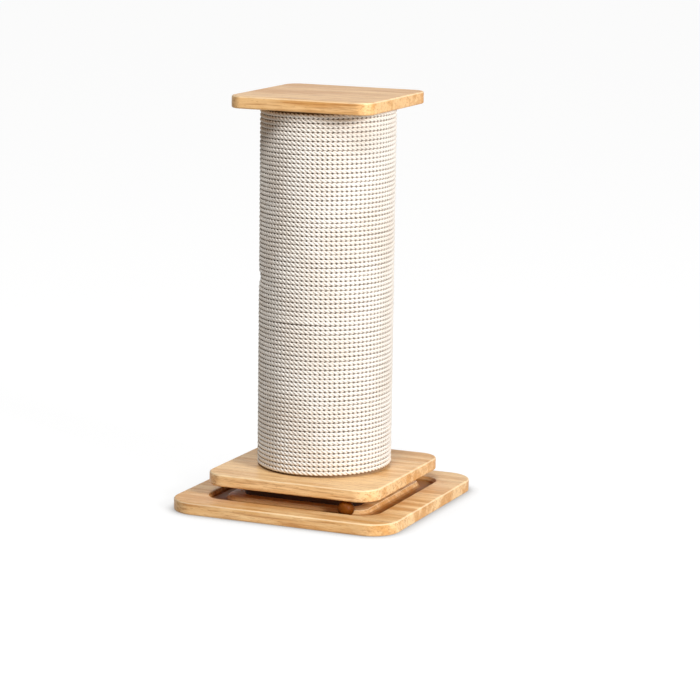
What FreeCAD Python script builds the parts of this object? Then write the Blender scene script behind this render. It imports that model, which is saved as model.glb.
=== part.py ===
import FreeCAD, Part
import math
import os

import Sketcher
from FreeCAD import Placement, Rotation, Vector

# Cat scratching post: a rope-wound tube between square boards, with a ball track
# routed in the base.  Millimetres, Z up, the floor at Z 0, the front towards -Y.

doc = FreeCAD.newDocument("ScratchingPost")
sheet = doc.addObject("Spreadsheet::Sheet", "Sizes")

SIZES = [
    ("total_height", 600.0, "floor to the top of the perch"),
    ("base_side", 350.0, "base board, square"),
    ("base_thick", 18.0, "base board thickness"),
    ("base_corner", 42.0, "base board corner radius"),
    ("paw_gap", 18.0, "spacer thickness, the gap that a paw reaches into"),
    ("spacer_side", 184.0, "spacer board, square"),
    ("spacer_corner", 20.0, "spacer corner radius"),
    ("cover_side", 268.0, "cover board over the track, square"),
    ("cover_thick", 18.0, "cover board thickness"),
    ("cover_corner", 32.0, "cover board corner radius"),
    ("perch_side", 220.0, "top board, square"),
    ("perch_thick", 18.0, "top board thickness"),
    ("perch_corner", 22.0, "top board corner radius"),
    ("edge_bevel", 1.5, "bevel on the boards' outer edges, the flat of a 2.5 mm rounding"),
    ("track_margin", 39.5, "base board's edge to the ball track"),
    ("track_outer_corner", 33.0, "corner radius of the track's outer edge"),
    ("track_inner_corner", 20.0, "corner radius of the island inside the track"),
    ("track_slope", 5.0, "how far each sloped side of the track runs in"),
    ("ball_size", 24.0, "diameter of the wooden ball"),
    ("ball_clearance", 0.3, "rest height of the ball over the track floor"),
    ("ball_side_gap", 1.0, "gap between the ball and each of the track's top edges"),
    ("ball_head_room", 1.2, "gap between the ball and the cover board"),
    ("ball_from_side", 47.0, "track's right-hand edge to the ball's centre"),
    ("tube_outside", 183.0, "outer diameter of the paperboard tube"),
    ("tube_wall", 6.0, "wall of the paperboard tube"),
    ("plug_height", 40.0, "height of each wooden plug"),
    ("plug_clearance", 0.3, "gap between plug and tube, on the radius"),
    ("rope_size", 6.0, "diameter of the rope"),
    ("rope_pitch", 6.5, "rise of the rope in one turn"),
    ("rope_clearance", 0.3, "gap between rope and tube"),
    ("rope_turns", 2.0, "turns drawn singly at each end of the post"),
    ("bolt_size", 8.0, "shank of the base bolts"),
    ("bolt_margin", 14.8, "tube's bore to the middle of a bolt, the bolts in a square"),
    ("bolt_grip", 22.0, "length of bolt inside the plug"),
    ("bolt_head", 13.0, "hexagonal bolt head across its flats"),
    ("bolt_head_height", 5.3, "height of the bolt head"),
    ("bolt_recess_size", 24.0, "recess for head and washer"),
    ("bolt_recess_depth", 8.0, "depth of that recess"),
    ("hole_clearance", 0.4, "radial gap round shanks in through holes"),
    ("washer_size", 20.0, "outer diameter of the washers"),
    ("washer_thick", 1.6, "thickness of the washers"),
    ("insert_size", 12.0, "outer diameter of the threaded inserts"),
    ("insert_length", 25.0, "length of the threaded inserts"),
    ("insert_clearance", 0.2, "radial gap of inserts and screws in their holes"),
    ("screw_size", 4.5, "shank of the perch screws"),
    ("screw_head", 9.0, "head of the perch screws"),
    ("screw_head_height", 3.0, "height of that head"),
    ("screw_bite", 12.0, "length of screw in the perch"),
    ("screw_margin", 21.8, "tube's bore to the middle of a perch screw"),
]
for row, (alias, value, note) in enumerate(SIZES, start=1):
    sheet.set("A%d" % row, note)
    sheet.set("B%d" % row, "%g" % value)
    sheet.setAlias("B%d" % row, alias)
doc.recompute()


def size(alias):
    return float(sheet.get(alias))


# ---------------------------------------------------------------- helpers

nodes = []


def new_body(label, height=None):
    """A body that stands at the given height, an expression on the sheet."""
    body = doc.addObject("PartDesign::Body", label)
    body.Label = label
    if height:
        body.setExpression(".Placement.Base.z", height)
    nodes.append(body)
    return body


def origin_plane(body, name):
    for feature in body.Origin.OriginFeatures:
        if feature.Role == name:
            return feature
    raise ValueError(name)


def new_sketch(body, name, plane="XY_Plane", offset=None):
    sketch = body.newObject("Sketcher::SketchObject", name)
    sketch.AttachmentSupport = [(origin_plane(body, plane), "")]
    sketch.MapMode = "FlatFace"
    if offset:
        sketch.setExpression(".AttachmentOffset.Base.z", offset)
    return sketch


def draw_rounded_square(sketch, side, corner):
    """Four lines and four arcs about the origin; side and corner are expressions."""
    half = 60.0
    radius = 10.0
    flat = half - radius
    turns = [Rotation(Vector(0, 0, 1), 90 * k) for k in range(4)]
    for k, turn in enumerate(turns):
        start = turn.multVec(Vector(-flat, -half, 0))
        end = turn.multVec(Vector(flat, -half, 0))
        sketch.addGeometry(Part.LineSegment(start, end), False)
        circle = Part.Circle(turn.multVec(Vector(flat, -flat, 0)), Vector(0, 0, 1), radius)
        first = math.radians(90 * k - 90)
        sketch.addGeometry(Part.ArcOfCircle(circle, first, first + math.pi / 2), False)
    for k in range(8):
        sketch.addConstraint(Sketcher.Constraint("Tangent", k, 2, (k + 1) % 8, 1))
    sketch.addConstraint(Sketcher.Constraint("Horizontal", 0))
    sketch.addConstraint(Sketcher.Constraint("Vertical", 2))
    sketch.addConstraint(Sketcher.Constraint("Horizontal", 4))
    sketch.addConstraint(Sketcher.Constraint("Vertical", 6))
    for arc in (3, 5, 7):
        sketch.addConstraint(Sketcher.Constraint("Equal", 1, arc))
    sketch.addConstraint(Sketcher.Constraint("Symmetric", 7, 3, 3, 3, -1, 1))
    wide = sketch.addConstraint(Sketcher.Constraint("DistanceX", 6, 1, 2, 1, 2 * half))
    deep = sketch.addConstraint(Sketcher.Constraint("DistanceY", 0, 1, 4, 1, 2 * half))
    bend = sketch.addConstraint(Sketcher.Constraint("Radius", 1, radius))
    sketch.renameConstraint(wide, "wide")
    sketch.renameConstraint(deep, "deep")
    sketch.renameConstraint(bend, "bend")
    sketch.setExpression("Constraints.wide", side)
    sketch.setExpression("Constraints.deep", side)
    sketch.setExpression("Constraints.bend", corner)


def draw_circle(sketch, diameter, name, across=None, along=None):
    """A circle at the origin, or at signed expressions across and along."""
    place = Vector(0, 0, 0)
    if across:
        place = Vector(40.0 * across[0], 40.0 * along[0], 0)
    circle = sketch.addGeometry(Part.Circle(place, Vector(0, 0, 1), 5.0), False)
    wide = sketch.addConstraint(Sketcher.Constraint("Diameter", circle, 10.0))
    sketch.renameConstraint(wide, "wide_" + name)
    sketch.setExpression("Constraints.wide_" + name, diameter)
    if not across:
        sketch.addConstraint(Sketcher.Constraint("Coincident", circle, 3, -1, 1))
        return
    for axis, (sign, far) in (("X", across), ("Y", along)):
        ends = (-1, 1, circle, 3) if sign > 0 else (circle, 3, -1, 1)
        gap = sketch.addConstraint(Sketcher.Constraint("Distance" + axis, *ends, 40.0))
        label = "far_%s_%s" % (axis.lower(), name)
        sketch.renameConstraint(gap, label)
        sketch.setExpression("Constraints." + label, far)


def draw_square_of_circles(sketch, diameter, distance):
    corners = [(sx, sy) for sx in (-1, 1) for sy in (-1, 1)]
    for k, (sx, sy) in enumerate(corners):
        draw_circle(sketch, diameter, "hole%d" % k, (sx, distance + " / 2"), (sy, distance + " / 2"))


def add_pad(body, sketch, length, name):
    pad = body.newObject("PartDesign::Pad", name)
    pad.Profile = sketch
    pad.setExpression("Length", length)
    sketch.Visibility = False
    body.Tip = pad
    doc.recompute()
    return pad


def add_pocket(body, sketch, length, name, upward=False):
    """A cut of the given depth down from the sketch, or up from it."""
    before = body.Shape.Volume
    pocket = body.newObject("PartDesign::Pocket", name)
    pocket.Profile = sketch
    pocket.setExpression("Length", length)
    pocket.Reversed = upward
    sketch.Visibility = False
    body.Tip = pocket
    doc.recompute()
    removed = before - body.Shape.Volume
    drawn = sum(Part.Face(wire).Area for wire in sketch.Shape.Wires) * pocket.Length.Value
    print("%s removes %.0f cubic mm of %.0f drawn" % (name, removed, drawn))
    if not drawn / 2 < removed < 1.001 * drawn:
        raise ValueError(name)
    return pocket


def bevel_rim(body, name):
    """Bevels every level edge of a plain board, at its top and its bottom."""
    board = body.Tip
    level = [k for k, edge in enumerate(board.Shape.Edges, start=1) if edge.BoundBox.ZLength < 0.01]
    bevel = body.newObject("PartDesign::Chamfer", name)
    bevel.Base = (board, ["Edge%d" % k for k in level])
    bevel.setExpression("Size", "Sizes.edge_bevel")
    body.Tip = bevel
    doc.recompute()
    return bevel


def make_board(label, side, corner, thick, height=None):
    body = new_body(label, height)
    outline = new_sketch(body, label + "_outline")
    draw_rounded_square(outline, side, corner)
    add_pad(body, outline, thick, label + "_board")
    return body


def drill_square(body, name, diameter, distance, depth, offset=None):
    """Four holes on a square, cut upwards from the offset plane."""
    sketch = new_sketch(body, name + "_places", offset=offset)
    draw_square_of_circles(sketch, diameter, distance)
    return add_pocket(body, sketch, depth, name, upward=True)


def set_place(solid, place, turn=None):
    """Binds the position to three expressions; turn is a fixed rotation."""
    if turn:
        solid.Placement = Placement(Vector(), turn)
    for axis, far in zip("xyz", place):
        solid.setExpression(".Placement.Base." + axis, far)
    return solid


def cylinder(name, diameter, height, place, turn=None):
    solid = doc.addObject("Part::Cylinder", name)
    solid.setExpression("Radius", "(%s) / 2" % diameter)
    solid.setExpression("Height", height)
    return set_place(solid, place, turn)


def join(name, solids):
    joined = doc.addObject("Part::MultiFuse", name)
    joined.Shapes = solids
    return joined


def cut(name, block, tools):
    """The block less its tools."""
    result = doc.addObject("Part::Cut", name)
    result.Base = block
    result.Tool = join(name + "_tools", tools) if len(tools) > 1 else tools[0]
    return result


def as_node(label, result):
    result.Label = label
    nodes.append(result)
    return result


def square_places(distance):
    """Four pairs of expressions, the corners of a square pattern."""
    signs = [(sx, sy) for sx in (-1, 1) for sy in (-1, 1)]
    return [("%d * %s / 2" % (sx, distance), "%d * %s / 2" % (sy, distance)) for sx, sy in signs]


# ---------------------------------------------------------------- heights and holes

COVER_BOTTOM = "Sizes.base_thick + Sizes.paw_gap"
POST_BOTTOM = COVER_BOTTOM + " + Sizes.cover_thick"
POST_TOP = "Sizes.total_height - Sizes.perch_thick"
BORE = "(Sizes.tube_outside - 2 * Sizes.tube_wall)"
BOLT_DISTANCE = "((%s / 2 - Sizes.bolt_margin) * sqrt(2))" % BORE
SCREW_DISTANCE = "((%s / 2 - Sizes.screw_margin) * sqrt(2))" % BORE
SHANK_HOLE = "Sizes.bolt_size + 2 * Sizes.hole_clearance"
INSERT_HOLE = "Sizes.insert_size + 2 * Sizes.insert_clearance"
SCREW_HOLE = "Sizes.screw_size + 2 * Sizes.insert_clearance"

# ---------------------------------------------------------------- base board

base = make_board("base_plate", "Sizes.base_side", "Sizes.base_corner", "Sizes.base_thick")
bevel_rim(base, "base_bevel")

TRACK_OUTER = "(Sizes.base_side - 2 * Sizes.track_margin)"
TRACK_WIDTH = "(Sizes.ball_size + 2 * Sizes.ball_side_gap)"
TRACK_INNER = "(%s - 2 * %s)" % (TRACK_OUTER, TRACK_WIDTH)
BALL_ROOM = "(Sizes.ball_clearance + Sizes.ball_size + Sizes.ball_head_room)"
FLOOR = "(Sizes.base_thick + Sizes.paw_gap - %s)" % BALL_ROOM


def loft_between(kind, name, side, corner, slope_sign):
    """A ruled loft from the base's top down to the track floor."""
    top = new_sketch(base, name + "_top", offset="Sizes.base_thick")
    draw_rounded_square(top, side, corner)
    foot = new_sketch(base, name + "_foot", offset=FLOOR)
    draw_rounded_square(foot, "%s %s 2 * Sizes.track_slope" % (side, slope_sign),
                        "%s %s Sizes.track_slope" % (corner, slope_sign))
    loft = base.newObject(kind, name)
    loft.Profile = top
    loft.Sections = [foot]
    loft.Ruled = True
    base.Tip = loft
    doc.recompute()
    return loft


loft_between("PartDesign::SubtractiveLoft", "track_pocket",
             TRACK_OUTER, "Sizes.track_outer_corner", "-")
loft_between("PartDesign::AdditiveLoft", "track_island",
             TRACK_INNER, "Sizes.track_inner_corner", "+")
drill_square(base, "base_holes", SHANK_HOLE, BOLT_DISTANCE, "Sizes.base_thick")
drill_square(base, "base_recesses", "Sizes.bolt_recess_size", BOLT_DISTANCE,
             "Sizes.bolt_recess_depth")

# ---------------------------------------------------------------- spacer and cover

spacer = make_board("spacer_plate", "Sizes.spacer_side", "Sizes.spacer_corner",
                    "Sizes.paw_gap", "Sizes.base_thick")
drill_square(spacer, "spacer_holes", SHANK_HOLE, BOLT_DISTANCE, "Sizes.paw_gap")

cover = make_board("cover_plate", "Sizes.cover_side", "Sizes.cover_corner",
                   "Sizes.cover_thick", COVER_BOTTOM)
bevel_rim(cover, "cover_bevel")
drill_square(cover, "cover_holes", SHANK_HOLE, BOLT_DISTANCE, "Sizes.cover_thick")

# ---------------------------------------------------------------- ball

BALL_ROWS = 14
BALL_COLUMNS = 28


def faceted_ball(radius):
    """A ball turned with narrow flats, its corners on the sphere of that radius."""
    def ring(row):
        tilt = math.pi * row / BALL_ROWS
        points = []
        for k in range(BALL_COLUMNS + 1):
            turn = 2 * math.pi * (k % BALL_COLUMNS) / BALL_COLUMNS
            points.append(Vector(math.sin(tilt) * math.cos(turn), math.sin(tilt) * math.sin(turn),
                                 -math.cos(tilt)) * radius)
        return points

    def flat(*corners):
        return Part.Face(Part.makePolygon(list(corners) + [corners[0]]))

    bottom = Vector(0, 0, -radius)
    top = Vector(0, 0, radius)
    rings = [ring(row) for row in range(1, BALL_ROWS)]
    faces = []
    for k in range(BALL_COLUMNS):
        faces.append(flat(bottom, rings[0][k + 1], rings[0][k]))
        faces.append(flat(top, rings[-1][k], rings[-1][k + 1]))
        for low, high in zip(rings, rings[1:]):
            faces.append(flat(low[k], low[k + 1], high[k + 1], high[k]))
    return Part.Solid(Part.Shell(faces))


ball = doc.addObject("Part::Feature", "track_ball")
ball.Shape = faceted_ball(size("ball_size") / 2)
set_place(ball, (TRACK_OUTER + " / 2 - Sizes.ball_from_side",
                 "(%s - %s) / 2" % (TRACK_WIDTH, TRACK_OUTER),
                 FLOOR + " + Sizes.ball_clearance + Sizes.ball_size / 2"))
as_node("track_ball", ball)

# ---------------------------------------------------------------- tube and plugs

POST_LENGTH = "%s - (%s)" % (POST_TOP, POST_BOTTOM)
PLUG = "%s - 2 * Sizes.plug_clearance" % BORE
TOP_PLUG_BOTTOM = "%s - Sizes.plug_height" % POST_TOP
wall = cylinder("tube_outer", "Sizes.tube_outside", POST_LENGTH, ("0", "0", POST_BOTTOM))
bore = cylinder("tube_bore", BORE, POST_LENGTH, ("0", "0", POST_BOTTOM))
as_node("post_tube", cut("post_tube", wall, [bore]))

plug_block = cylinder("bottom_plug_block", PLUG, "Sizes.plug_height", ("0", "0", POST_BOTTOM))
sockets = [cylinder("insert_socket%d" % k, INSERT_HOLE, "Sizes.insert_length",
                    (across, along, POST_BOTTOM))
           for k, (across, along) in enumerate(square_places(BOLT_DISTANCE))]
as_node("bottom_plug", cut("bottom_plug", plug_block, sockets))

plug_block = cylinder("top_plug_block", PLUG, "Sizes.plug_height", ("0", "0", TOP_PLUG_BOTTOM))
sockets = [cylinder("screw_socket%d" % k, SCREW_HOLE, "Sizes.plug_height",
                    (across, along, TOP_PLUG_BOTTOM))
           for k, (across, along) in enumerate(square_places(SCREW_DISTANCE))]
as_node("top_plug", cut("top_plug", plug_block, sockets))

# ---------------------------------------------------------------- perch

perch = make_board("top_plate", "Sizes.perch_side", "Sizes.perch_corner",
                   "Sizes.perch_thick", POST_TOP)
bevel_rim(perch, "perch_bevel")
drill_square(perch, "perch_holes", SCREW_HOLE, SCREW_DISTANCE,
             "Sizes.screw_bite + Sizes.insert_clearance")

# ---------------------------------------------------------------- fasteners

SEAT = "Sizes.bolt_recess_depth - Sizes.washer_thick"
HEAD_BOTTOM = SEAT + " - Sizes.bolt_head_height"
bolts = []
washers = []
inserts = []
for k, (across, along) in enumerate(square_places(BOLT_DISTANCE)):
    head = doc.addObject("Part::Prism", "bolt_head%d" % k)
    head.Polygon = 6
    head.setExpression("Circumradius", "Sizes.bolt_head / 2 / cos(30 deg)")
    head.setExpression("Height", "Sizes.bolt_head_height")
    bolts.append(set_place(head, (across, along, HEAD_BOTTOM)))
    bolts.append(cylinder("bolt_shank%d" % k, "Sizes.bolt_size",
                          "%s + Sizes.bolt_grip - (%s)" % (POST_BOTTOM, HEAD_BOTTOM),
                          (across, along, HEAD_BOTTOM)))
    disc = cylinder("washer_disc%d" % k, "Sizes.washer_size", "Sizes.washer_thick",
                    (across, along, SEAT))
    eye = cylinder("washer_eye%d" % k, SHANK_HOLE, "Sizes.washer_thick", (across, along, SEAT))
    washers.append(cut("washer%d" % k, disc, [eye]))
    sleeve = cylinder("insert_sleeve%d" % k, "Sizes.insert_size", "Sizes.insert_length",
                      (across, along, POST_BOTTOM))
    thread = cylinder("insert_thread%d" % k, "Sizes.bolt_size + 2 * Sizes.insert_clearance",
                      "Sizes.insert_length", (across, along, POST_BOTTOM))
    inserts.append(cut("insert%d" % k, sleeve, [thread]))
as_node("base_bolts", join("base_bolts", bolts))
as_node("bolt_washers", join("bolt_washers", washers))
as_node("insert_nuts", join("insert_nuts", inserts))

screws = []
for k, (across, along) in enumerate(square_places(SCREW_DISTANCE)):
    under = "%s - Sizes.screw_head_height" % TOP_PLUG_BOTTOM
    screws.append(cylinder("screw_head%d" % k, "Sizes.screw_head", "Sizes.screw_head_height",
                           (across, along, under)))
    screws.append(cylinder("screw_shank%d" % k, "Sizes.screw_size",
                           "Sizes.screw_head_height + Sizes.plug_height + Sizes.screw_bite",
                           (across, along, under)))
as_node("top_screws", join("top_screws", screws))

# ---------------------------------------------------------------- rope

ROPE_INSIDE = "Sizes.tube_outside + 2 * Sizes.rope_clearance"
ROPE_OUTSIDE = "%s + 2 * Sizes.rope_size" % ROPE_INSIDE
TURNS_HEIGHT = "(Sizes.rope_turns * Sizes.rope_pitch + Sizes.rope_size + 3 * Sizes.rope_clearance)"
FIELD_BOTTOM = "%s + %s" % (POST_BOTTOM, TURNS_HEIGHT)
FIELD_TOP = "%s - %s" % (POST_TOP, TURNS_HEIGHT)
FIELD_HEIGHT = "%s - (%s)" % (FIELD_TOP, FIELD_BOTTOM)

sleeve = cylinder("rope_field_outer", ROPE_OUTSIDE, FIELD_HEIGHT, ("0", "0", FIELD_BOTTOM))
bore = cylinder("rope_field_inner", ROPE_INSIDE, FIELD_HEIGHT, ("0", "0", FIELD_BOTTOM))
as_node("rope_field", cut("rope_field", sleeve, [bore]))

BACK = 90.0
POINT_SPACING = 2.0
STEPS_IN_TURN = 2
SECTION_SIDES = 6


def arc_through(start, heading, end):
    """The arc from start along the unit vector heading to end, and its last heading."""
    chord = end - start
    along = FreeCAD.Vector(chord).normalize()
    lean = heading.dot(along)
    side = heading - along * lean
    half_angle = math.acos(min(1.0, lean))
    middle = (start + end) * 0.5 + side.normalize() * (chord.Length / 2 * math.tan(half_angle / 2))
    return Part.Arc(start, middle, end).toShape(), along * (2 * lean) - heading


def biarc(start, heading, end, last_heading):
    """Two arcs that leave along heading and arrive along last_heading."""
    gap = end - start
    both = heading + last_heading
    square = 2 * (heading.dot(last_heading) - 1)
    across = gap.dot(both)
    reach = (across - math.sqrt(across * across - square * gap.dot(gap))) / square
    if reach < 0:
        reach = (across + math.sqrt(across * across - square * gap.dot(gap))) / square
    joint = (start + heading * reach + end - last_heading * reach) * 0.5
    first, middle_heading = arc_through(start, heading, joint)
    second, _ = arc_through(joint, middle_heading, end)
    return [first, second]


def rope_path(bottom, turns, start_angle):
    """A rising helix of biarcs with a straight run of one diameter at each end."""
    radius = size("tube_outside") / 2 + size("rope_clearance") + size("rope_size") / 2
    pitch = size("rope_pitch")
    steps = round(turns * STEPS_IN_TURN)

    def point(k):
        angle = start_angle + 2 * math.pi * k / STEPS_IN_TURN
        rise = bottom + pitch * k / STEPS_IN_TURN
        return Vector(radius * math.cos(angle), radius * math.sin(angle), rise)

    def heading(k):
        angle = start_angle + 2 * math.pi * k / STEPS_IN_TURN
        speed = 2 * math.pi * radius
        return Vector(-speed * math.sin(angle), speed * math.cos(angle), pitch).normalize()

    run = size("rope_size")
    first = point(0) - heading(0) * run
    last = point(steps) + heading(steps) * run
    edges = [Part.LineSegment(first, point(0)).toShape()]
    for k in range(steps):
        edges += biarc(point(k), heading(k), point(k + 1), heading(k + 1))
    edges.append(Part.LineSegment(point(steps), last).toShape())
    return Part.Wire(edges)


def rope_section(start, heading):
    """A hexagon about the path's first point, its corners on the rope's diameter."""
    outward = Vector(start.x, start.y, 0).normalize()
    upward = heading.cross(outward)
    points = []
    for k in range(SECTION_SIDES + 1):
        angle = 2 * math.pi * k / SECTION_SIDES
        points.append(start + outward * (size("rope_size") / 2 * math.cos(angle))
                      + upward * (size("rope_size") / 2 * math.sin(angle)))
    return Part.makePolygon(points)


def wound_rope(name, bottom):
    """One unbroken length of rope that starts and ends at the back of the post."""
    path = rope_path(bottom, size("rope_turns"), math.radians(BACK))
    start = path.Edges[0].Vertexes[0].Point
    heading = path.Edges[0].tangentAt(path.Edges[0].FirstParameter)
    shell = Part.BRepOffsetAPI.MakePipeShell(path)
    shell.add(rope_section(start, heading))
    shell.build()
    shell.makeSolid()
    rope = shell.shape()
    radius = size("rope_size") / 2
    area = SECTION_SIDES / 2 * math.sin(2 * math.pi / SECTION_SIDES) * radius ** 2
    print("%s volume %.0f, section times length %.0f" % (name, rope.Volume, area * path.Length))
    points = path.discretize(Distance=POINT_SPACING)
    half_turn = int(math.pi * size("tube_outside") / 2 / POINT_SPACING)
    least = min((a - b).Length for k, a in enumerate(points) for b in points[k + half_turn:])
    print("%s least gap between turns %.2f mm" % (name, least - size("rope_size")))
    return rope


post_bottom = size("base_thick") + size("paw_gap") + size("cover_thick")
post_top = size("total_height") - size("perch_thick")
end_margin = size("rope_size") / 2 + size("rope_clearance")
wound_height = size("rope_turns") * size("rope_pitch")
end_turns = doc.addObject("Part::Feature", "rope_end_turns")
end_turns.Shape = Part.makeCompound([
    wound_rope("lower turns", post_bottom + end_margin),
    wound_rope("upper turns", post_top - end_margin - wound_height)])
as_node("rope_end_turns", end_turns)

# ---------------------------------------------------------------- checks and files

doc.recompute()
for thing in doc.Objects:
    if "Invalid" in thing.State or "Error" in thing.State:
        raise ValueError("%s is %s" % (thing.Name, thing.State))
os.makedirs("parts", exist_ok=True)
for node in nodes:
    shape = node.Shape
    if shape.isNull() or not shape.isValid() or not shape.Solids:
        raise ValueError(node.Label)
    box = shape.BoundBox
    print("%-17s solids %2d volume %10.0f  x %7.1f %6.1f  y %7.1f %6.1f  z %6.1f %6.1f"
          % (node.Label, len(shape.Solids), shape.Volume,
             box.XMin, box.XMax, box.YMin, box.YMax, box.ZMin, box.ZMax))
    shape.exportStep("parts/%s.step" % node.Label)
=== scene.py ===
# %% [markdown]
# A cat scratching post: a tube wound with off-white rope between square wooden boards.
# The base board has a routed track, in which a wooden ball rolls under a raised cover.
# The packed model is loaded first and stays fixed, so the pieces built here take their
# places from the CAD nodes' own boxes. Corner radii and track sizes repeat the CAD's.

# %% Load the frame
import math

import bmesh
import bpy
import numpy as np
from mathutils import Matrix, Vector


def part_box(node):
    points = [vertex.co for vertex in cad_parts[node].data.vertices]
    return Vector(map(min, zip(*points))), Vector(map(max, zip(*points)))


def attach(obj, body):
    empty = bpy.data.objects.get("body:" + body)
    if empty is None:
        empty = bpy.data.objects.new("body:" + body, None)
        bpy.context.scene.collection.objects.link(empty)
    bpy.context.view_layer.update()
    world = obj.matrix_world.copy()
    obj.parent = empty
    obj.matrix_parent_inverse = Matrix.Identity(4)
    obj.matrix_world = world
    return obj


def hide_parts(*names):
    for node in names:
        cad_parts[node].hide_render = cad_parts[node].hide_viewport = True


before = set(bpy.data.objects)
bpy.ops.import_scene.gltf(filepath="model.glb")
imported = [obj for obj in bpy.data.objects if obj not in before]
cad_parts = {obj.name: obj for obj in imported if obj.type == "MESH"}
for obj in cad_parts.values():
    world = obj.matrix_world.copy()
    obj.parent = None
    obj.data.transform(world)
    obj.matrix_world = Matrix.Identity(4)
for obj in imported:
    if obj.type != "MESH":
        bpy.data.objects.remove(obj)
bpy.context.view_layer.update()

MM = 0.001
scene = bpy.context.scene

# %% [markdown]
# The photograph was taken with a long lens from the front and a little above, about 23
# degrees round to the right. The distance, the aim and the slight roll come from fitting
# the boards' edges, so this camera is the fit written out.

# %% Camera
CAMERA_TURN = math.radians(23.16)
CAMERA_RISE = math.radians(10.85)
CAMERA_ROLL = math.radians(0.82)
CAMERA_DISTANCE = 4.095
AIM_RIGHT = 0.03565
AIM_HEIGHT = 0.22446
IMAGE_PIXELS = 700
FOCAL_PIXELS = 2803
SENSOR_MM = 36.0

across = Vector((math.cos(CAMERA_TURN), math.sin(CAMERA_TURN), 0))
backward = Vector((math.sin(CAMERA_TURN) * math.cos(CAMERA_RISE),
                   -math.cos(CAMERA_TURN) * math.cos(CAMERA_RISE), math.sin(CAMERA_RISE)))
upward = backward.cross(across)
rolled_across = across * math.cos(CAMERA_ROLL) + upward * math.sin(CAMERA_ROLL)
rolled_upward = backward.cross(rolled_across)
place = across * AIM_RIGHT + Vector((0, 0, AIM_HEIGHT)) + backward * CAMERA_DISTANCE

camera = bpy.data.objects.new("camera", bpy.data.cameras.new("camera"))
scene.collection.objects.link(camera)
camera.data.sensor_width = SENSOR_MM
camera.data.lens = FOCAL_PIXELS / IMAGE_PIXELS * SENSOR_MM
camera.data.clip_end = 50
turn = Matrix((rolled_across, rolled_upward, backward)).transposed()
camera.matrix_world = Matrix.Translation(place) @ turn.to_4x4()
scene.camera = camera
print("lens", round(camera.data.lens, 1), "mm at", [round(v, 2) for v in place])

# %% [markdown]
# A finish is a small sum of noises and masks. Written as nodes it is hard to read, so a
# socket is wrapped in a class that adds the Math node when two values are added or
# multiplied, whichever side the plain number stands on.

# %% Values
class Value:
    """A number that changes over a surface, for use in ordinary sums."""

    def __init__(self, finish, socket):
        self.finish = finish
        self.socket = socket

    def math(self, operation, *others, swapped=False):
        terms = [self, *others]
        if swapped:
            terms.reverse()
        return self.finish.node("ShaderNodeMath", {"operation": operation},
                                dict(enumerate(terms)))

    def __add__(self, other):
        return self.math("ADD", other)

    def __sub__(self, other):
        return self.math("SUBTRACT", other)

    def __rsub__(self, other):
        return self.math("SUBTRACT", other, swapped=True)

    def __mul__(self, other):
        return self.math("MULTIPLY", other)

    __radd__ = __add__
    __rmul__ = __mul__

    def step(self, low, high):
        """0 below low, 1 above high and smooth between them."""
        return self.finish.node("ShaderNodeMapRange", {"interpolation_type": "SMOOTHSTEP"},
                                {"Value": self, "From Min": low, "From Max": high})


print("sums with the number first:", [name for name in vars(Value) if name.startswith("__r")])

# %% [markdown]
# Every other node comes from one method: its type, then its settings, then what goes into
# its sockets. The named methods after it are the few patterns that all the finishes share.
# The world's background is built the same way as a material.

# %% Finishes
class Finish:
    """The nodes of a material or of the world, all added by one method."""

    def __init__(self, owner):
        owner.use_nodes = True
        self.owner = owner
        self.tree = owner.node_tree
        self.tree.nodes.clear()

    def node(self, kind, settings=None, sockets=None, out=0):
        made = self.tree.nodes.new(kind)
        for name, setting in (settings or {}).items():
            setattr(made, name, setting)
        for key, given in (sockets or {}).items():
            if isinstance(given, Value):
                self.tree.links.new(given.socket, made.inputs[key])
            else:
                made.inputs[key].default_value = given
        return Value(self, made.outputs[out]) if made.outputs else None

    def place(self):
        """Where a point is on its own object, in metres."""
        return self.node("ShaderNodeTexCoord", out="Object")

    def axes(self, vector):
        """A vector's three parts, each as a value."""
        split = self.node("ShaderNodeSeparateXYZ", {}, {0: vector})
        return [Value(self, socket) for socket in split.socket.node.outputs]

    def seen(self):
        """1 for rays from the camera, from a reflection or through glass, else 0."""
        rays = [self.node("ShaderNodeLightPath", out=ray)
                for ray in ("Is Camera Ray", "Is Glossy Ray", "Is Transmission Ray")]
        return rays[0].math("MAXIMUM", rays[1]).math("MAXIMUM", rays[2])

    def stretched(self, where, scale, shift=(0, 0, 0)):
        return self.node("ShaderNodeMapping", {}, {"Vector": where, "Scale": scale,
                                                   "Location": shift})

    def noise(self, where, scale, detail=3.0, roughness=0.55):
        return self.node("ShaderNodeTexNoise", {}, {
            "Vector": where, "Scale": scale, "Detail": detail, "Roughness": roughness})

    def blend(self, amount, low, high):
        """Two colours mixed by a value."""
        return self.node("ShaderNodeMix", {"data_type": "RGBA"},
                         {0: amount, 6: low, 7: high}, out=2)

    def bump(self, height, distance, strength=1.0):
        return self.node("ShaderNodeBump", {}, {
            "Height": height, "Distance": distance, "Strength": strength})

    def surface(self, sockets):
        shader = self.node("ShaderNodeBsdfPrincipled", {}, sockets)
        self.node("ShaderNodeOutputMaterial", {}, {"Surface": shader})
        return self.owner


def new_finish(name):
    return Finish(bpy.data.materials.new(name))


def rgb(red, green, blue):
    """A colour written as a screen shows it, 0 to 255, in the renderer's own values."""
    parts = [channel / 255 for channel in (red, green, blue)]
    linear = [part / 12.92 if part < 0.04045 else ((part + 0.055) / 1.055) ** 2.4
              for part in parts]
    return (*linear, 1)


print("mid grey as light:", [round(part, 3) for part in rgb(128, 128, 128)])

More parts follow.
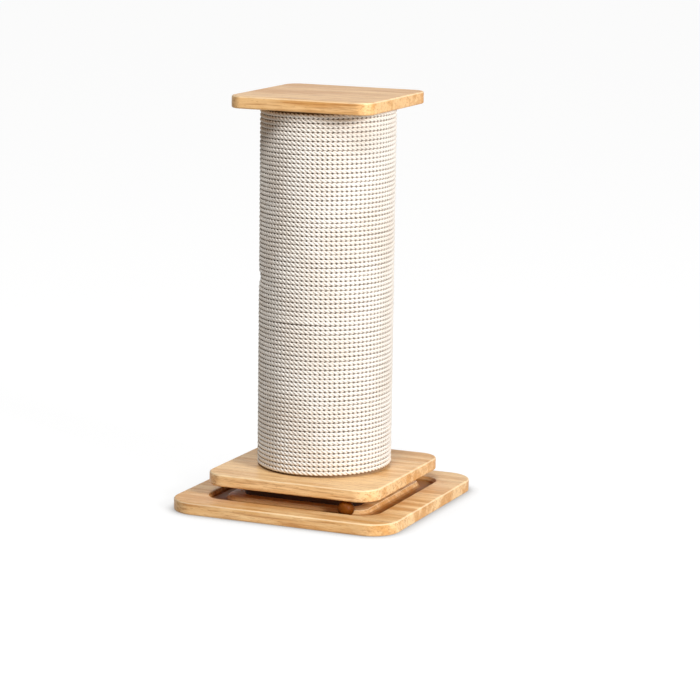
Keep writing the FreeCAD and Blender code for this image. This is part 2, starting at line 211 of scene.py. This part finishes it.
# %% [markdown]
# The boards are solid wood under a clear satin lacquer, with the grain running left to
# right. A solid texture that is stretched along the grain gives streaks on the top and
# front and specks of end grain on the right side, from one set of noises, as in a board.
# Some tones are painted light. Faces that slant upward, such as the rounded top edges, are
# painted paler: a painted highlight for the thin highlights on the lacquer. Inside the ball
# track the wood has no lacquer and carries painted shade, a little amber all over and much
# darker on its floor.

# %% Wood finish
# How often each noise repeats in a metre: along the grain, across it and upwards.
STAVES = (1.2, 14, 14)
FIGURE = (7, 60, 60)
STREAKS = (14, 330, 330)
PORES = (90, 1300, 1300)

# Painted shade inside the ball track: a little amber over all of it, darker on its floor.
TRACK_SHADE_TONE = rgb(196, 130, 48)
TRACK_FLOOR_SHADE_TONE = rgb(146, 86, 22)
# A painted highlight on faces that slant upward, such as the rounded top edges.
PAINTED_HIGHLIGHT_TONE = rgb(255, 236, 200)
DARK_GRAIN = rgb(172, 108, 52)
BOARD_TONES = (rgb(250, 211, 156), rgb(222, 167, 102), DARK_GRAIN)
PERCH_TONES = (rgb(244, 200, 142), rgb(217, 160, 94), DARK_GRAIN)
# The spacer's near-black tones are painted shade for the dark gap under the cover.
SPACER_SHADE_TONES = (rgb(96, 60, 34), rgb(74, 44, 24), rgb(46, 26, 14))
# The ball's dark tones are painted shade for its place under the cover.
BALL_SHADE_TONES = (rgb(112, 58, 6), rgb(98, 48, 4), rgb(70, 34, 3))


def wood(name, tones, shift, lacquer=0.30, highlight_tone=None, track=None):
    """Grained wood; tones run pale to dark, track is its rim height, depth and half width."""
    pale, middle, dark = tones
    finish = new_finish(name)
    where = finish.stretched(finish.place(), (1, 1, 1), shift)
    staves = finish.noise(finish.stretched(where, STAVES), 1.6, 2.0)
    figure = finish.noise(finish.stretched(where, FIGURE), 1.0, 4.0, 0.62)
    streaks = finish.noise(finish.stretched(where, STREAKS), 1.0, 3.0, 0.65)
    pores = finish.noise(finish.stretched(where, PORES), 1.0, 2.0, 0.6).step(0.60, 0.70)
    color = finish.blend((staves * 0.45 + figure * 0.55).step(0.41, 0.59), pale, middle)
    color = finish.blend(streaks.step(0.48, 0.72) * 0.68, color, dark)
    color = finish.blend(pores * 0.75, color, dark)
    facing_up = finish.axes(finish.node("ShaderNodeNewGeometry", out="Normal"))[2]
    # Mask for the painted highlight: faces that slant upward, such as rounded top edges.
    edge = facing_up.step(0.10, 0.35) * (1 - facing_up.step(0.80, 0.97))
    if track:
        rim, depth, half = track
        x, y, z = finish.axes(finish.place())
        outward = x.math("ABSOLUTE").math("MAXIMUM", y.math("ABSOLUTE"))
        in_track = (1 - z.step(rim - 1.2 * MM, rim - 0.4 * MM)) \
            * (1 - outward.step(half, half + 1 * MM))
        on_floor = in_track * (1 - z.step(rim - depth + 1.5 * MM, rim - depth + 3.5 * MM))
        # Painted shade in the track: amber over all of it, then much darker on its floor.
        color = finish.blend(in_track * 0.16, color, TRACK_SHADE_TONE)
        color = finish.blend(on_floor * 0.75, color, TRACK_FLOOR_SHADE_TONE)
        edge = edge * (1 - in_track)
        lacquer = lacquer * (1 - in_track)
    # The painted highlight, blended onto upward-slanting faces outside the track.
    color = finish.blend(edge * 0.45, color, highlight_tone or pale)
    return finish.surface({
        "Base Color": color,
        "Roughness": 0.40 + figure * 0.12 + pores * 0.10,
        "Normal": finish.bump(streaks * 0.5 - pores * 0.8, 0.06 * MM, 0.5),
        "Specular IOR Level": 0.1,
        "Coat Weight": lacquer,
        "Coat Roughness": 0.30,
    })


cover_wood = wood("cover_wood", BOARD_TONES, (1.7, 0.6, 0.5), highlight_tone=PAINTED_HIGHLIGHT_TONE)
perch_wood = wood("perch_wood", PERCH_TONES, (2.9, 1.3, 0.9), highlight_tone=PAINTED_HIGHLIGHT_TONE)
# Near-black painted shade for the spacer, in the dark gap under the cover.
spacer_wood = wood("spacer_wood", SPACER_SHADE_TONES, (4.1, 2.2, 0.7))
# Dark brown painted shade for the ball, which lies in shade under the cover.
ball_wood = wood("ball_wood", BALL_SHADE_TONES, (5.3, 0.2, 1.9), lacquer=0.0)
print("woods:", [material.name for material in (cover_wood, perch_wood, spacer_wood, ball_wood)])

# %% [markdown]
# A board is a stack of rounded squares, joined ring to ring like the loops on a barrel.
# The outer edges are rounded over as a router leaves them, which catches the light in a
# thin line. A ring just inside each rounding keeps the flats flat under smooth shading.

# %% Rings and boards
CORNER_STEPS = 14
EDGE_ROUND = 2.5 * MM
EDGE_STEPS = 6
SUPPORT = 0.6 * MM


def square_ring(side, corner, height):
    """Points of a rounded square, the same number whatever its size."""
    points = []
    for quarter in range(4):
        middle = side / 2 - corner
        spin = Matrix.Rotation(math.pi / 2 * quarter, 3, "Z")
        for k in range(CORNER_STEPS + 1):
            angle = math.pi / 2 * k / CORNER_STEPS - math.pi / 2
            point = Vector((middle + corner * math.cos(angle),
                            -middle + corner * math.sin(angle), height))
            points.append(spin @ point)
    return points


def link_mesh(name, mesh, material, smooth_under=30):
    piece = bpy.data.objects.new(name, mesh)
    scene.collection.objects.link(piece)
    mesh.materials.append(material)
    mesh.polygons.foreach_set("use_smooth", [True] * len(mesh.polygons))
    mesh.set_sharp_from_angle(angle=math.radians(smooth_under))
    return piece


def stack_rings(name, rings, material):
    """Closes a stack of rings with a flat at each end."""
    count = len(rings[0])
    faces = [tuple(reversed(range(count)))]
    for low in range(len(rings) - 1):
        for k in range(count):
            after = (k + 1) % count
            faces.append((low * count + k, low * count + after,
                          (low + 1) * count + after, (low + 1) * count + k))
    faces.append(tuple(range((len(rings) - 1) * count, len(rings) * count)))
    mesh = bpy.data.meshes.new(name)
    mesh.from_pydata([point for ring in rings for point in ring], [], faces)
    return link_mesh(name, mesh, material)


def board_rings(side, corner, low, high):
    """From the underside's flat round the outer edge to the top's flat."""
    flat_side = side - 2 * EDGE_ROUND - 2 * SUPPORT
    flat_corner = corner - EDGE_ROUND - SUPPORT
    rings = [square_ring(flat_side, flat_corner, low)]
    for k in range(EDGE_STEPS + 1):
        angle = math.pi / 2 * k / EDGE_STEPS
        inset = EDGE_ROUND * (1 - math.sin(angle))
        rise = low + EDGE_ROUND * (1 - math.cos(angle))
        rings.append(square_ring(side - 2 * inset, corner - inset, rise))
    rings.append(square_ring(side, corner, low + EDGE_ROUND + SUPPORT))
    rings.append(square_ring(side, corner, high - EDGE_ROUND - SUPPORT))
    for k in range(EDGE_STEPS + 1):
        angle = math.pi / 2 * k / EDGE_STEPS
        inset = EDGE_ROUND * (1 - math.cos(angle))
        rise = high - EDGE_ROUND * (1 - math.sin(angle))
        rings.append(square_ring(side - 2 * inset, corner - inset, rise))
    rings.append(square_ring(flat_side, flat_corner, high))
    return rings


def side_and_heights(node):
    low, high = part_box(node)
    return high.x - low.x, low.z, high.z


COVER_CORNER = 32 * MM
PERCH_CORNER = 22 * MM
cover_side, cover_low, cover_high = side_and_heights("cover_plate")
cover = stack_rings("cover_board", board_rings(cover_side, COVER_CORNER, cover_low, cover_high),
                    cover_wood)
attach(cover, "post")
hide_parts("cover_plate")

perch_side, perch_low, perch_high = side_and_heights("top_plate")
perch = stack_rings("perch_board", board_rings(perch_side, PERCH_CORNER, perch_low, perch_high),
                    perch_wood)
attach(perch, "post")
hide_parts("top_plate")
print("cover", len(cover.data.polygons), "faces, perch", len(perch.data.polygons))

# %% [markdown]
# The base board's top carries the ball track, a square channel with sloped sides and
# rounded corners that a router cuts with a tapered bit. The stack of rings simply goes on
# inwards: down the outer slope, along the floor, up the island's slope and over the island.

# %% Base board with its track
BASE_CORNER = 42 * MM
TRACK_OUTER, TRACK_OUTER_CORNER = 271 * MM, 33 * MM
TRACK_INNER, TRACK_INNER_CORNER = 219 * MM, 20 * MM
TRACK_DEPTH, TRACK_SLOPE = 7.5 * MM, 5 * MM
RIM_ROUND = 0.8 * MM
RIM_EASE = ((-1, 0), (-0.3, 0.1), (0.25, 0.55), (0.7, 1.1))


def slope_rings(side, corner, sign, top, going_down):
    """Rings down a sloped wall, its rim and foot eased; sign is -1 where it runs inwards."""
    steps = [(run * RIM_ROUND, drop * RIM_ROUND) for run, drop in RIM_EASE]
    foot = [(TRACK_SLOPE - inward, TRACK_DEPTH - rise) for inward, rise in reversed(steps)]
    rings = [square_ring(side + sign * 2 * run, corner + sign * run, top - drop)
             for run, drop in steps + foot]
    return rings if going_down else rings[::-1]


base_side, base_low, base_high = side_and_heights("base_plate")
rings = board_rings(base_side, BASE_CORNER, base_low, base_high)
rings += slope_rings(TRACK_OUTER, TRACK_OUTER_CORNER, -1, base_high, True)
rings += slope_rings(TRACK_INNER, TRACK_INNER_CORNER, 1, base_high, False)
base_wood = wood("base_wood", BOARD_TONES, (0.3, 0.1, 0.2), highlight_tone=PAINTED_HIGHLIGHT_TONE,
                 track=(base_high, TRACK_DEPTH, TRACK_OUTER / 2))
base = stack_rings("base_board", rings, base_wood)
print("base", len(base.data.polygons), "faces")

# %% [markdown]
# Underneath, four recesses hold the bolt heads and washers, which stay CAD nodes. The
# recesses are cut with a boolean, which is then applied so that the mesh is final.

# %% Bolt recesses
RECESS_RADIUS = 12 * MM
RECESS_DEPTH = 8 * MM
RECESS_SIDES = 48
BOLT_SPREAD = 100 * MM

cutters = bmesh.new()
for sign_x in (-1, 1):
    for sign_y in (-1, 1):
        at = Matrix.Translation((sign_x * BOLT_SPREAD / 2, sign_y * BOLT_SPREAD / 2, 0))
        bmesh.ops.create_cone(cutters, cap_ends=True, segments=RECESS_SIDES,
                              radius1=RECESS_RADIUS, radius2=RECESS_RADIUS,
                              depth=2 * RECESS_DEPTH, matrix=at)
cutter_mesh = bpy.data.meshes.new("recess_cutters")
cutters.to_mesh(cutter_mesh)
cutters.free()
cutter = bpy.data.objects.new("recess_cutters", cutter_mesh)
scene.collection.objects.link(cutter)
drill = base.modifiers.new("recesses", "BOOLEAN")
drill.object = cutter
drill.operation = "DIFFERENCE"
drill.solver = "EXACT"
bpy.context.view_layer.update()
drilled = bpy.data.meshes.new_from_object(base.evaluated_get(
    bpy.context.evaluated_depsgraph_get()))
base.modifiers.clear()
base.data = drilled
drilled.set_sharp_from_angle(angle=math.radians(30))
bpy.data.objects.remove(cutter)
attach(base, "post")
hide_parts("base_plate")
print("base drilled,", len(base.data.polygons), "faces")

# %% [markdown]
# The ball is turned wood, painted dark brown as painted shade for its place under the cover.
# It is a subdivided icosahedron, pushed in and out by a few hundredths of a millimetre as a
# sanded ball is. It rides on its own body.

# %% Ball
ball_low, ball_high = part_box("track_ball")
ball_middle = (ball_low + ball_high) / 2
BALL_RADIUS = 12 * MM
SANDING = 0.03 * MM
RIPPLES = (900, 700, 500)
turned = bmesh.new()
bmesh.ops.create_icosphere(turned, subdivisions=5, radius=BALL_RADIUS)
for vertex in turned.verts:
    wave = math.sin(vertex.co.x * RIPPLES[0]) * math.sin(
        vertex.co.y * RIPPLES[1] + vertex.co.z * RIPPLES[2])
    vertex.co = vertex.co.normalized() * (BALL_RADIUS + SANDING * (wave - 1)) + ball_middle
ball_mesh = bpy.data.meshes.new("wooden_ball")
turned.to_mesh(ball_mesh)
turned.free()
ball = link_mesh("wooden_ball", ball_mesh, ball_wood)
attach(ball, "ball")
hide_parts("track_ball")
print("ball at, mm:", [round(v / MM, 1) for v in ball_middle])

# %% [markdown]
# The rope is three strands twisted together, wound about eighty times round the tube.
# Each turn is laid close on the last. The section is three overlapping circles that turn
# as they travel, so the valleys between strands are real grooves that hold shadow. The
# whole length is one tube, worked out with arrays because it has many thousand faces. Its
# path wanders a little, and has the dent and the one slipped turn that the photo shows.

# %% Rope size and path
ROPE_TURNS = 81
STRAND_COUNT = 3
STRANDS_A_TURN = 85
STEPS_A_STRAND = 4
STRAND_RADIUS = 1.88 * MM
STRAND_OFFSET = 1.70 * MM
ROPE_MIDDLE = 95.0 * MM
SECTION_ANGLES = (-60, -45, -15, 15, 45)
DENT_DEPTH, SLIP = 2.6 * MM, 1.0 * MM
# Each spot: its height, degrees round the post, how tall it is and how many degrees wide.
DENT_SPOT = (332 * MM, 203, 8 * MM, 22)
SLIP_SPOT = (279 * MM, 270, 4 * MM, 30)
# Each wander: the part of a turn from knot to knot, and its size in metres or radians.
WANDER_UP = (0.37, 0.12 * MM)
WANDER_OUT = (0.21, 0.10 * MM)
WANDER_TWIST = (0.5, 0.10)

tube_low, tube_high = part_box("post_tube")
rope_half = STRAND_RADIUS + STRAND_OFFSET
rng = np.random.default_rng(7)


def smooth_noise(count, per_turn, wander):
    """A slow wander: random knots with a smooth curve through them."""
    spacing, amount = per_turn * wander[0], wander[1]
    knots = rng.normal(0, 1, int(count / spacing) + 4)
    at = np.arange(count) / spacing
    whole = at.astype(int)
    part = at - whole
    part = part * part * (3 - 2 * part)
    return amount * (knots[whole] * (1 - part) + knots[whole + 1] * part)


steps_a_turn = STRANDS_A_TURN * STEPS_A_STRAND
samples = ROPE_TURNS * steps_a_turn + 1
turns = np.arange(samples) / steps_a_turn
angle = math.pi / 2 + 2 * math.pi * turns
rise_low = tube_low.z + rope_half
rise_high = tube_high.z - rope_half
height = rise_low + (rise_high - rise_low) * turns / ROPE_TURNS
height += smooth_noise(samples, steps_a_turn, WANDER_UP)
radius = ROPE_MIDDLE + smooth_noise(samples, steps_a_turn, WANDER_OUT)


def near(rise, turn, tall, wide):
    """1 at one spot of the post and falling to 0 around it; heights in metres."""
    off = (angle - math.radians(turn) + math.pi) % (2 * math.pi) - math.pi
    return np.exp(-((height - rise) / tall) ** 2 - (off / math.radians(wide)) ** 2)


radius = radius - DENT_DEPTH * near(*DENT_SPOT)
height = height + SLIP * near(*SLIP_SPOT)
print("rope", round(2 * math.pi * ROPE_MIDDLE * ROPE_TURNS, 1), "m long,",
      round((rise_high - rise_low) / ROPE_TURNS / MM, 2), "mm a turn")

# %% [markdown]
# Round each point of the path stands the section: the far edge of whichever strand reaches
# farthest in that direction. It turns with the strands, and rings are joined by quads.

# %% Rope mesh
section = np.radians([120 * strand + a for strand in range(STRAND_COUNT) for a in SECTION_ANGLES])
from_crest = np.radians(SECTION_ANGLES * STRAND_COUNT)
reach = STRAND_OFFSET * np.cos(from_crest) + np.sqrt(
    STRAND_RADIUS ** 2 - (STRAND_OFFSET * np.sin(from_crest)) ** 2)
twist = -2 * math.pi / STRAND_COUNT * STRANDS_A_TURN * turns + smooth_noise(
    samples, steps_a_turn, WANDER_TWIST)
around = twist[:, None] + section[None, :]
out = radius[:, None] + reach[None, :] * np.cos(around)
points = np.stack([out * np.cos(angle)[:, None], out * np.sin(angle)[:, None],
                   height[:, None] + reach[None, :] * np.sin(around)], axis=2)
sides = len(section)
print("rope grid", samples, "by", sides)


def tube_faces(count, sides):
    """Quads along a closed tube of count rings."""
    start = (np.arange(count - 1) * sides)[:, None] + np.arange(sides)[None, :]
    after = (np.arange(count - 1) * sides)[:, None] + (np.arange(sides) + 1)[None, :] % sides
    return np.stack([start, start + sides, after + sides, after], axis=2).reshape(-1, 4)


def grid_mesh(name, points, faces, caps):
    """A mesh straight from arrays: quads, then the end faces."""
    corners = np.concatenate([faces.ravel(), np.concatenate(caps)]).astype(np.int32)
    totals = np.array([4] * len(faces) + [len(cap) for cap in caps], np.int32)
    starts = np.concatenate([[0], np.cumsum(totals)[:-1]]).astype(np.int32)
    mesh = bpy.data.meshes.new(name)
    mesh.vertices.add(len(points))
    mesh.vertices.foreach_set("co", points.astype(np.float32).ravel())
    mesh.loops.add(len(corners))
    mesh.loops.foreach_set("vertex_index", corners)
    mesh.polygons.add(len(totals))
    mesh.polygons.foreach_set("loop_start", starts)
    mesh.update(calc_edges=True)
    mesh.validate()
    return mesh


faces = tube_faces(samples, sides)
first_cap = np.arange(sides)
last_cap = (samples - 1) * sides + np.arange(sides)[::-1]
rope_mesh = grid_mesh("wound_rope", points.reshape(-1, 3), faces, [first_cap, last_cap])
print("rope", len(rope_mesh.polygons), "faces")

# %% [markdown]
# The rope is undyed cotton. Two numbers are kept on every point: how near it lies to the
# valley between two strands, and how squarely it faces out from the post. Valleys, and the
# joints between turns where the rope faces up or down, are darkened brown as painted shade.
# Where a valley crosses a joint stands a dark dot of painted shade, one of the dark dots
# that cover the post.

# %% Rope finish
COTTON, COTTON_SHADED = rgb(246, 242, 236), rgb(238, 231, 222)
FIBRE_TONE = rgb(214, 196, 174)
# Painted shade in the rope's valleys and in the joints between turns.
CREASE_SHADE_TONE = rgb(160, 118, 80)
# Painted shade for the dark gaps where a valley meets a joint.
GAP_SHADE_TONE = rgb(44, 26, 15)

valley = np.tile(np.abs(from_crest) / math.radians(60), samples)
facing = np.cos(around).ravel()
for name, numbers in (("valley", valley), ("facing", facing)):
    attribute = rope_mesh.attributes.new(name, "FLOAT", "POINT")
    attribute.data.foreach_set("value", numbers.astype(np.float32))


def rope_finish():
    finish = new_finish("rope")
    valley = finish.node("ShaderNodeAttribute", {"attribute_name": "valley"}, out="Fac")
    facing = finish.node("ShaderNodeAttribute", {"attribute_name": "facing"}, out="Fac")
    groove = valley.step(0.40, 0.95)
    joint = 1 - facing.step(0.10, 0.72)
    where = finish.place()
    patches = finish.noise(where, 14.0, 3.0)
    fibres = finish.noise(where, 900.0, 2.0, 0.6)
    color = finish.blend(patches.step(0.35, 0.70), COTTON, COTTON_SHADED)
    color = finish.blend(fibres.step(0.45, 0.75) * 0.25, color, FIBRE_TONE)
    # Painted shade: valleys a little darker, joints between turns more.
    color = finish.blend(groove * 0.20 + joint * 0.46, color, CREASE_SHADE_TONE)
    # Painted shade: dark dots where a valley crosses a joint.
    color = finish.blend((groove * joint).step(0.12, 0.45), color, GAP_SHADE_TONE)
    return finish.surface({
        "Base Color": color,
        "Roughness": 0.9,
        "Normal": finish.bump(fibres, 0.0002, 0.5),
    })


rope = link_mesh("wound_rope", rope_mesh, rope_finish(), 180)
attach(rope, "post")
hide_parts("rope_field", "rope_end_turns")
print("rope finish:", len(rope.active_material.node_tree.nodes), "nodes")

# %% [markdown]
# The hidden pieces keep their CAD shapes: the tube of brown paperboard, the two plugs, and
# zinc-plated steel for the bolts, washers, inserts and screws. Each gets its own finish.
# The spacer, which shows in the gap under the cover, and the plugs take a near-black wood
# that is painted shade.

# %% Hidden pieces
def paperboard():
    finish = new_finish("paperboard")
    where = finish.place()
    pulp = finish.noise(finish.stretched(where, (1, 1, 2.5)), 260.0, 4.0, 0.7)
    cloud = finish.noise(where, 18.0, 2.0)
    color = finish.blend(cloud.step(0.3, 0.7), rgb(168, 138, 104), rgb(148, 118, 86))
    color = finish.blend(pulp.step(0.5, 0.8) * 0.5, color, rgb(112, 86, 60))
    return finish.surface({"Base Color": color, "Roughness": 0.85,
                           "Normal": finish.bump(pulp, 0.0001, 0.4)})


def zinc():
    finish = new_finish("zinc_plate")
    where = finish.place()
    spangle = finish.noise(where, 700.0, 3.0)
    color = finish.blend(spangle.step(0.3, 0.7), rgb(196, 198, 202), rgb(168, 170, 176))
    return finish.surface({"Base Color": color, "Metallic": 1.0,
                           "Roughness": 0.28 + spangle * 0.2})


steel = zinc()
slots_done = 0
# The spacer and plugs take the near-black wood, which is painted shade.
for node, material in (("spacer_plate", spacer_wood), ("post_tube", paperboard()),
                       ("bottom_plug", spacer_wood), ("top_plug", spacer_wood),
                       ("base_bolts", steel), ("bolt_washers", steel),
                       ("insert_nuts", steel), ("top_screws", steel)):
    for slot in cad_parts[node].material_slots:
        slot.material = material
        slots_done += 1
print("slots of hidden pieces given a finish:", slots_done)

# %% [markdown]
# The photograph has a white ground that is burnt out but for a faint shade round the base.
# The floor is a plain pale plane. To the camera and to reflections it adds a steady glow,
# tinted darker close to the post's foot, so it reads as white with a soft shade there. All
# other light meets the plain floor, so the lamps stay at a plain level.

# %% Floor and world
FLOOR_HALF = 12.0
GLOW = 0.95
SHADE_REACH = 0.14
SHADE_SAMPLES = 8
SHADE_TONE = (0.48, 0.47, 0.46, 1)
MATT_TONE = (0.60, 0.565, 0.52, 1)
SHADOW_TONE = (0.12, 0.12, 0.12, 1)
WHITE = (1, 1, 1, 1)
ROOM_TONE, ROOM_LEVEL = (1.0, 0.95, 0.88, 1), 0.10

floor_mesh = bpy.data.meshes.new("floor")
floor_mesh.from_pydata([(-FLOOR_HALF, -FLOOR_HALF, 0), (FLOOR_HALF, -FLOOR_HALF, 0),
                        (FLOOR_HALF, FLOOR_HALF, 0), (-FLOOR_HALF, FLOOR_HALF, 0)],
                       [], [(0, 1, 2, 3)])
floor = bpy.data.objects.new("floor", floor_mesh)
scene.collection.objects.link(floor)
ground = new_finish("floor_white")
matt = ground.node("ShaderNodeBsdfDiffuse", {}, {"Color": MATT_TONE})
shadowed = ground.node("ShaderNodeBsdfDiffuse", {}, {"Color": SHADOW_TONE})
openness = ground.node("ShaderNodeAmbientOcclusion", {"samples": SHADE_SAMPLES},
                       {"Distance": SHADE_REACH}, out="AO")
tint = ground.blend(openness.step(0.45, 1.0), SHADE_TONE, WHITE)
glow = ground.node("ShaderNodeEmission", {}, {"Color": tint, "Strength": GLOW})
glowing = ground.node("ShaderNodeAddShader", {}, {0: shadowed, 1: glow})
ground.node("ShaderNodeOutputMaterial", {}, {"Surface": ground.node(
    "ShaderNodeMixShader", {}, {0: ground.seen(), 1: matt, 2: glowing})})
floor_mesh.materials.append(ground.owner)

scene.world = bpy.data.worlds.new("studio")
sky = Finish(scene.world)
white = sky.node("ShaderNodeBackground", {}, {"Color": WHITE, "Strength": 1.0})
room = sky.node("ShaderNodeBackground", {}, {"Color": ROOM_TONE, "Strength": ROOM_LEVEL})
sky.node("ShaderNodeOutputWorld", {}, {"Surface": sky.node(
    "ShaderNodeMixShader", {}, {0: sky.seen(), 1: room, 2: white})})
print("floor", 2 * FLOOR_HALF, "m across, glow", GLOW, "and room light", ROOM_LEVEL)

# %% [markdown]
# The main light is a soft lamp on the right, about twenty degrees up, so the right rim of
# the track throws its shadow across the groove's floor. A weaker lamp high in front opens
# the boards' tops. Both stand well back, so the light is even from perch to base.

# %% Lamps
LAMP_DISTANCE = 4.5
LAMP_AIM = Vector((0, 0, 0.28))


def lamp(name, turn, rise, size, power):
    """An area lamp aimed at the post; turn is from +X towards the front."""
    data = bpy.data.lights.new(name, "AREA")
    data.shape = "SQUARE"
    data.size = size
    data.energy = power
    piece = bpy.data.objects.new(name, data)
    scene.collection.objects.link(piece)
    turn, rise = math.radians(turn), math.radians(rise)
    direction = Vector((math.cos(turn) * math.cos(rise), -math.sin(turn) * math.cos(rise),
                        math.sin(rise)))
    piece.location = LAMP_AIM + direction * LAMP_DISTANCE
    piece.rotation_euler = direction.to_track_quat("Z", "Y").to_euler()
    return piece


key = lamp("key_right", 26, 21, 1.0, 180)
front = lamp("front_high", 78, 56, 1.35, 94)
scene.view_settings.view_transform = "Standard"
print("lamps at", [[round(v, 2) for v in piece.location] for piece in (key, front)])

# %% [markdown]
# The built pieces take their sizes from the CAD's own boxes. The built pieces have to
# fill the CAD's own box.
